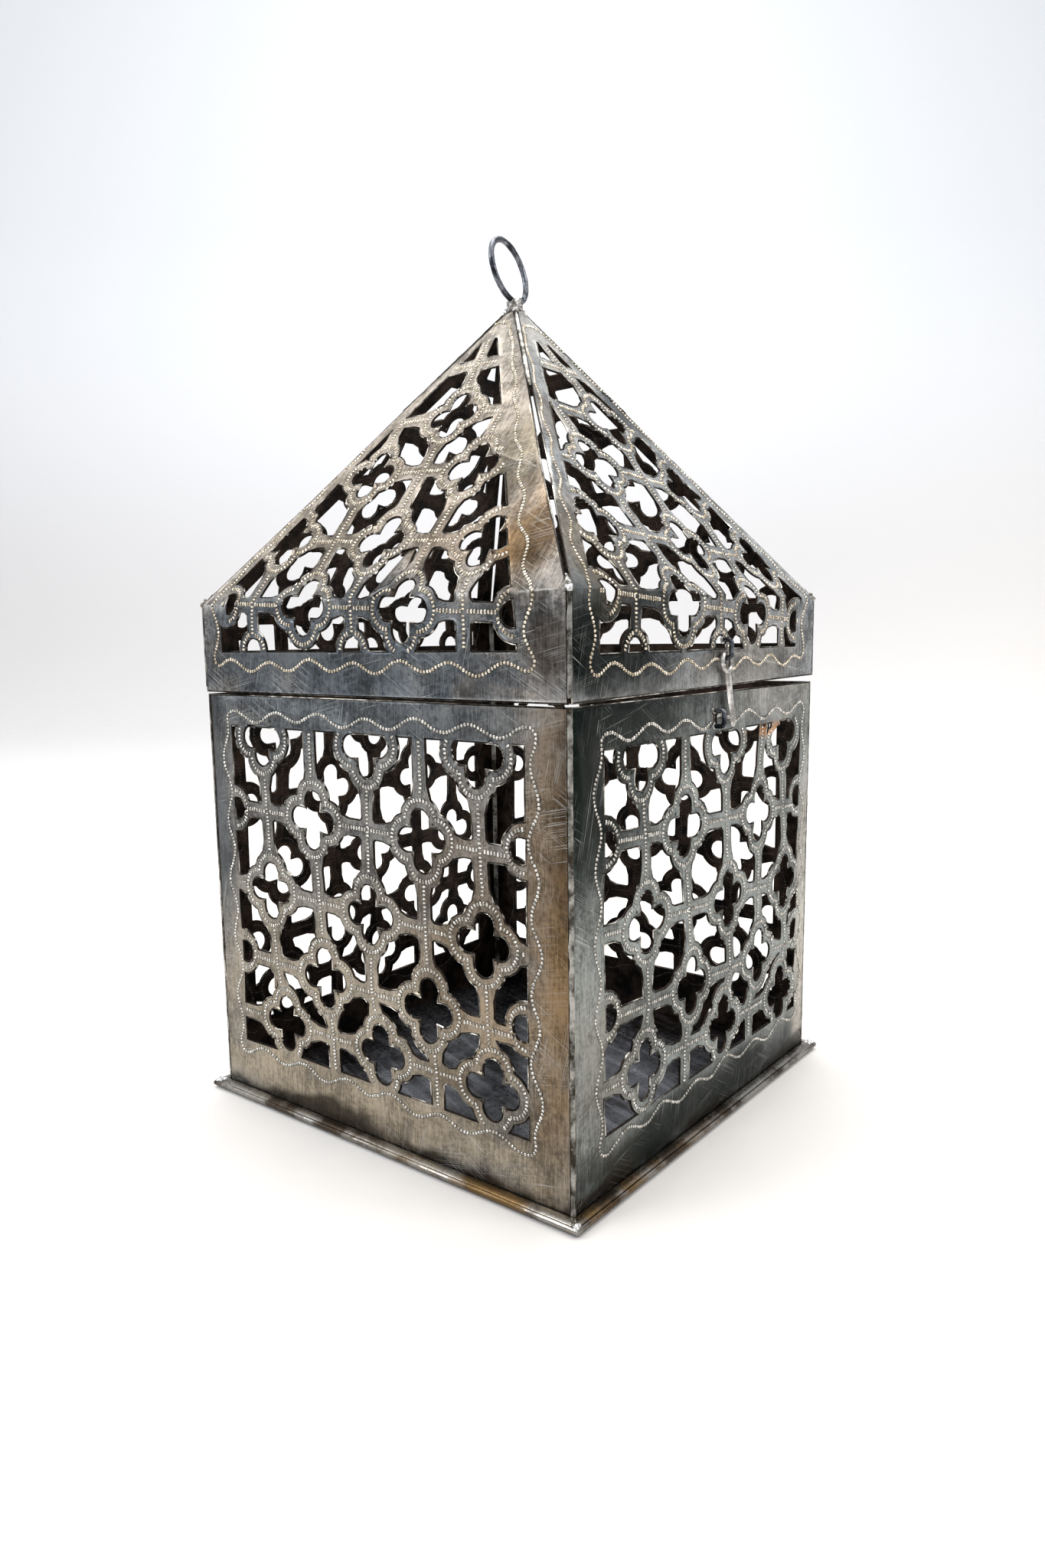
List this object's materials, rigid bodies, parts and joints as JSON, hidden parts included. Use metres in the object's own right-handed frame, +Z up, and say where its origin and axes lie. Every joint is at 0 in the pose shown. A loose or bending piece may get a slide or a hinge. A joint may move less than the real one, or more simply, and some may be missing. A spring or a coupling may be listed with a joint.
{
  "type": "pierced metal lantern",
  "caption": "Square pierced sheet-metal Moroccan lantern with a hinged pyramid lid, a hook latch and a soldered hanging ring on a rimmed base tray.",
  "frame": {"origin": "centre of the base tray's underside, on the surface it stands on", "axes": "+Z up to the hanging ring, +Y to the back where the two hinges are, +X to the right seen from the latch side"},
  "size_m": [0.19, 0.19, 0.3454],
  "materials": {
    "wall_sheet": "aged tinned sheet, satin with glossy dark patches",
    "lid_sheet": "aged tinned sheet with warm brassy stain",
    "tray_sheet": "scratched tinned sheet",
    "solder": "bright, lumpy",
    "wire_and_hinges": "dark galvanised wire"
  },
  "bodies": {
    "body": {"base_tray": "tray_sheet", "base_corner_solder": "solder", "wall_front": "wall_sheet", "wall_right": "wall_sheet", "wall_back": "wall_sheet", "wall_left": "wall_sheet", "wall_seam_front_left": "solder", "wall_seam_front_right": "solder", "wall_seam_back_right": "solder", "wall_seam_back_left": "solder", "hinge_body_leaf_left": "wire_and_hinges", "hinge_body_leaf_right": "wire_and_hinges", "hinge_pin_left": "wire_and_hinges", "hinge_pin_right": "wire_and_hinges", "latch_catch_staple": "wire_and_hinges"},
    "lid": {"lid_panel_front": "lid_sheet", "lid_panel_right": "lid_sheet", "lid_panel_back": "lid_sheet", "lid_panel_left": "lid_sheet", "lid_seam_front_left": "solder", "lid_seam_front_right": "solder", "lid_seam_back_right": "solder", "lid_seam_back_left": "solder", "hip_solder_front_left": "solder", "hip_solder_front_right": "solder", "hip_solder_back_right": "solder", "hip_solder_back_left": "solder", "hinge_lid_leaf_left": "wire_and_hinges", "hinge_lid_leaf_right": "wire_and_hinges", "hanging_ring": "wire_and_hinges", "apex_solder": "solder", "latch_pivot_staple": "wire_and_hinges"},
    "hook": {"latch_hook": "wire_and_hinges"}
  },
  "joints": [
    {"name": "lid_hinge", "type": "hinge", "parent": "body", "child": "lid", "pos_m": [0, 0.0926, 0.1676], "axis": [-1, 0, 0], "range_deg": [0, 170]},
    {"name": "hook_hinge", "type": "hinge", "parent": "lid", "child": "hook", "pos_m": [0.0065, -0.0919, 0.1795], "axis": [0, -1, 0], "range_deg": [-18, 110]}
  ]
}
